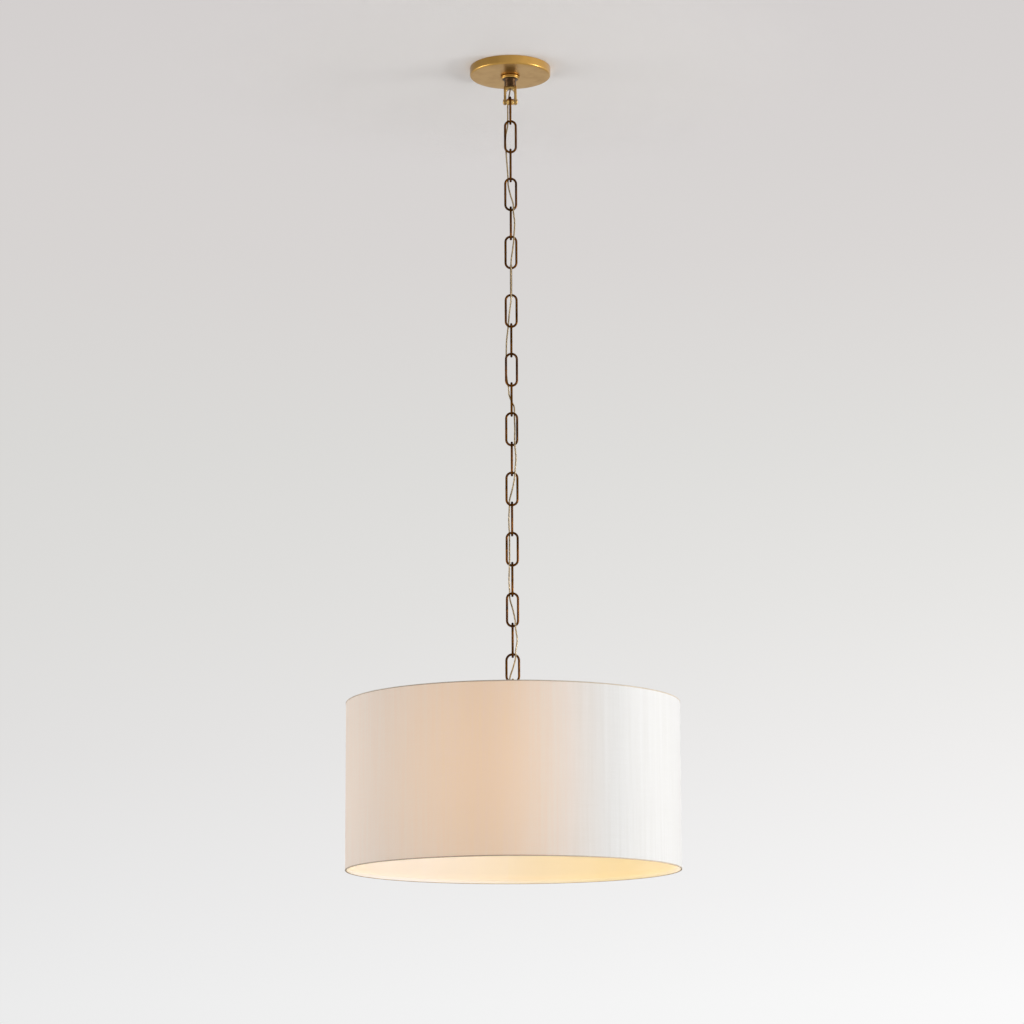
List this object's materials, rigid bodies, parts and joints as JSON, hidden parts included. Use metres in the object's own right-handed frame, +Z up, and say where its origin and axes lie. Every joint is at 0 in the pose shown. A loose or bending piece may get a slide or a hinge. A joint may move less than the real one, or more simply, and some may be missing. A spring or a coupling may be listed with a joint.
{
  "type": "drum pendant light",
  "caption": "Drum pendant light: round canopy, link chain with woven cord, and a linen drum shade over one screw-base socket.",
  "frame": {"origin": "on the ceiling plane, at the centre of the canopy's open top, where the light hangs from", "axes": "+Z up along the hanging axis into the ceiling; +X along the crossbar, to the right seen from the picture's side"},
  "size_m": [0.4572, 0.4572, 1.1714],
  "materials": {
    "satin_brass": "satin",
    "antique_brass": "dark antique",
    "zinc_plate": "zinc plated",
    "green_zinc": "green zinc plated",
    "linen": "plain linen weave",
    "cream_film": "matte styrene film",
    "hem_tape": "rolled hem",
    "white_enamel": "white enamel",
    "cord_jacket": "clear jacket over gold wire",
    "fibre_sleeve": "vulcanised fibre",
    "porcelain": "glazed porcelain",
    "contact_copper": "bright",
    "frosted_glass": "frosted",
    "clear_glass": "clear",
    "cap_nickel": "nickel plated",
    "black_glass": "black glass",
    "tungsten": "drawn wire",
    "orange_plastic": "moulded"
  },
  "bodies": {
    "ceiling_mount": {"crossbar": "zinc_plate", "box_screw_1": "zinc_plate", "box_screw_2": "zinc_plate", "ground_screw": "green_zinc", "upper_nipple": "zinc_plate", "nipple_nut": "zinc_plate", "yoke": "satin_brass", "yoke_sleeve": "satin_brass", "yoke_pin": "satin_brass", "cord": "cord_jacket", "wire_nut_1": "orange_plastic", "wire_nut_2": "orange_plastic"},
    "canopy_ring": {"canopy_ring": "satin_brass"},
    "canopy": {"canopy": "satin_brass"},
    "link_01": {"link_01": "antique_brass"},
    "link_02": {"link_02": "antique_brass"},
    "link_03": {"link_03": "antique_brass"},
    "link_04": {"link_04": "antique_brass"},
    "link_05": {"link_05": "antique_brass"},
    "link_06": {"link_06": "antique_brass"},
    "link_07": {"link_07": "antique_brass"},
    "link_08": {"link_08": "antique_brass"},
    "link_09": {"link_09": "antique_brass"},
    "link_10": {"link_10": "antique_brass"},
    "link_11": {"link_11": "antique_brass"},
    "link_12": {"link_12": "antique_brass"},
    "link_13": {"link_13": "antique_brass"},
    "link_14": {"link_14": "antique_brass"},
    "link_15": {"link_15": "antique_brass"},
    "link_16": {"link_16": "antique_brass"},
    "link_17": {"link_17": "antique_brass"},
    "link_18": {"link_18": "antique_brass"},
    "link_19": {"link_19": "antique_brass"},
    "link_20": {"link_20": "antique_brass"},
    "shade": {"shade_loop": "satin_brass", "cover_cap": "satin_brass", "lower_nipple": "zinc_plate", "lock_nut": "zinc_plate", "spider_hub": "white_enamel", "spider_arm_1": "white_enamel", "spider_arm_2": "white_enamel", "spider_arm_3": "white_enamel", "top_hoop": "white_enamel", "bottom_hoop": "white_enamel", "shade_linen": "linen", "shade_liner": "cream_film", "top_trim": "hem_tape", "bottom_trim": "hem_tape", "socket_cap": "satin_brass", "socket_shell": "satin_brass", "socket_sleeve": "fibre_sleeve", "socket_core": "porcelain", "screw_shell": "contact_copper", "centre_contact": "contact_copper"},
    "bulb": {"bulb_glass": "frosted_glass", "bulb_cap": "cap_nickel", "bulb_contact": "cap_nickel", "bulb_insulator": "black_glass", "bulb_stem": "clear_glass", "filament": "tungsten"}
  },
  "joints": [
    {"name": "canopy_ring_slide", "type": "slide", "parent": "ceiling_mount", "child": "canopy_ring", "axis": [0, 0, -1], "range_m": [0, 0.018]},
    {"name": "canopy_slide", "type": "slide", "parent": "ceiling_mount", "child": "canopy", "axis": [0, 0, -1], "range_m": [0, 0.018]},
    {"name": "link_01_swing", "type": "hinge", "parent": "ceiling_mount", "child": "link_01", "pos_m": [0, 0, -0.0504], "axis": [1, 0, 0], "range_deg": [-40, 40], "deforming": ["cord"]},
    {"name": "link_02_swing", "type": "hinge", "parent": "link_01", "child": "link_02", "pos_m": [0, 0, -0.0824], "axis": [0, 1, 0], "range_deg": [-40, 40], "deforming": ["cord"]},
    {"name": "link_03_swing", "type": "hinge", "parent": "link_02", "child": "link_03", "pos_m": [0, 0, -0.12488], "axis": [-1, 0, 0], "range_deg": [-40, 40], "deforming": ["cord"]},
    {"name": "link_04_swing", "type": "hinge", "parent": "link_03", "child": "link_04", "pos_m": [0, 0, -0.16736], "axis": [0, -1, 0], "range_deg": [-40, 40], "deforming": ["cord"]},
    {"name": "link_05_swing", "type": "hinge", "parent": "link_04", "child": "link_05", "pos_m": [0, 0, -0.20984], "axis": [-1, 0, 0], "range_deg": [-40, 40], "deforming": ["cord"]},
    {"name": "link_06_swing", "type": "hinge", "parent": "link_05", "child": "link_06", "pos_m": [0, 0, -0.25232], "axis": [0, -1, 0], "range_deg": [-40, 40], "deforming": ["cord"]},
    {"name": "link_07_swing", "type": "hinge", "parent": "link_06", "child": "link_07", "pos_m": [0, 0, -0.2948], "axis": [1, 0, 0], "range_deg": [-40, 40], "deforming": ["cord"]},
    {"name": "link_08_swing", "type": "hinge", "parent": "link_07", "child": "link_08", "pos_m": [0, 0, -0.33728], "axis": [0, 1, 0], "range_deg": [-40, 40], "deforming": ["cord"]},
    {"name": "link_09_swing", "type": "hinge", "parent": "link_08", "child": "link_09", "pos_m": [0, 0, -0.37976], "axis": [1, 0, 0], "range_deg": [-40, 40], "deforming": ["cord"]},
    {"name": "link_10_swing", "type": "hinge", "parent": "link_09", "child": "link_10", "pos_m": [0, 0, -0.42224], "axis": [0, 1, 0], "range_deg": [-40, 40], "deforming": ["cord"]},
    {"name": "link_11_swing", "type": "hinge", "parent": "link_10", "child": "link_11", "pos_m": [0, 0, -0.46472], "axis": [-1, 0, 0], "range_deg": [-40, 40], "deforming": ["cord"]},
    {"name": "link_12_swing", "type": "hinge", "parent": "link_11", "child": "link_12", "pos_m": [0, 0, -0.5072], "axis": [0, -1, 0], "range_deg": [-40, 40], "deforming": ["cord"]},
    {"name": "link_13_swing", "type": "hinge", "parent": "link_12", "child": "link_13", "pos_m": [0, 0, -0.54968], "axis": [-1, 0, 0], "range_deg": [-40, 40], "deforming": ["cord"]},
    {"name": "link_14_swing", "type": "hinge", "parent": "link_13", "child": "link_14", "pos_m": [0, 0, -0.59216], "axis": [0, -1, 0], "range_deg": [-40, 40], "deforming": ["cord"]},
    {"name": "link_15_swing", "type": "hinge", "parent": "link_14", "child": "link_15", "pos_m": [0, 0, -0.63464], "axis": [1, 0, 0], "range_deg": [-40, 40], "deforming": ["cord"]},
    {"name": "link_16_swing", "type": "hinge", "parent": "link_15", "child": "link_16", "pos_m": [0, 0, -0.67712], "axis": [0, 1, 0], "range_deg": [-40, 40], "deforming": ["cord"]},
    {"name": "link_17_swing", "type": "hinge", "parent": "link_16", "child": "link_17", "pos_m": [0, 0, -0.7196], "axis": [1, 0, 0], "range_deg": [-40, 40], "deforming": ["cord"]},
    {"name": "link_18_swing", "type": "hinge", "parent": "link_17", "child": "link_18", "pos_m": [0, 0, -0.76208], "axis": [0, 1, 0], "range_deg": [-40, 40], "deforming": ["cord"]},
    {"name": "link_19_swing", "type": "hinge", "parent": "link_18", "child": "link_19", "pos_m": [0, 0, -0.80456], "axis": [-1, 0, 0], "range_deg": [-40, 40], "deforming": ["cord"]},
    {"name": "link_20_swing", "type": "hinge", "parent": "link_19", "child": "link_20", "pos_m": [0, 0, -0.84704], "axis": [0, -1, 0], "range_deg": [-40, 40], "deforming": ["cord"]},
    {"name": "shade_swing", "type": "hinge", "parent": "link_20", "child": "shade", "pos_m": [0, 0, -0.88264], "axis": [-1, 0, 0], "range_deg": [-40, 40], "deforming": ["cord"]},
    {"name": "bulb_slide", "type": "slide", "parent": "shade", "child": "bulb", "axis": [0, 0, -1], "range_m": [0, 0.06]}
  ],
  "couplings": [
    {"joint": "canopy_slide", "follows": "canopy_ring_slide", "ratio": 1}
  ]
}
